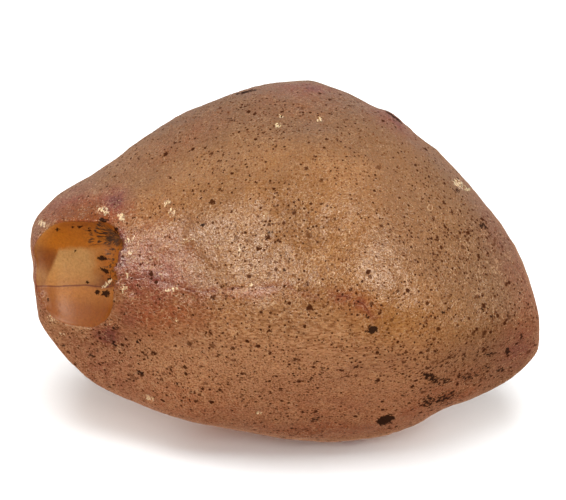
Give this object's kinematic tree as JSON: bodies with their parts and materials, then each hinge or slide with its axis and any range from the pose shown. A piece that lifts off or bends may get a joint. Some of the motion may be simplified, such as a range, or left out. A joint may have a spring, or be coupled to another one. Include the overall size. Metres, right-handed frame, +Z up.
{
  "type": "raw carnelian stone",
  "caption": "Waterworn raw carnelian pebble with a finely pitted skin and a fresh shell-like chip at one end, resting on a small worn flat.",
  "frame": {"origin": "on the resting surface, under the middle of the stone's box", "axes": "+Z up from the resting flat, +X along the stone's length away from the chipped end, -Y out of the broad face that shows the chip"},
  "size_m": [0.044, 0.027, 0.0293],
  "materials": {
    "carnelian_skin": "waxy, finely pitted, translucent orange-brown chalcedony"
  },
  "bodies": {
    "root": {"carnelian_stone": "carnelian_skin"}
  },
  "joints": []
}
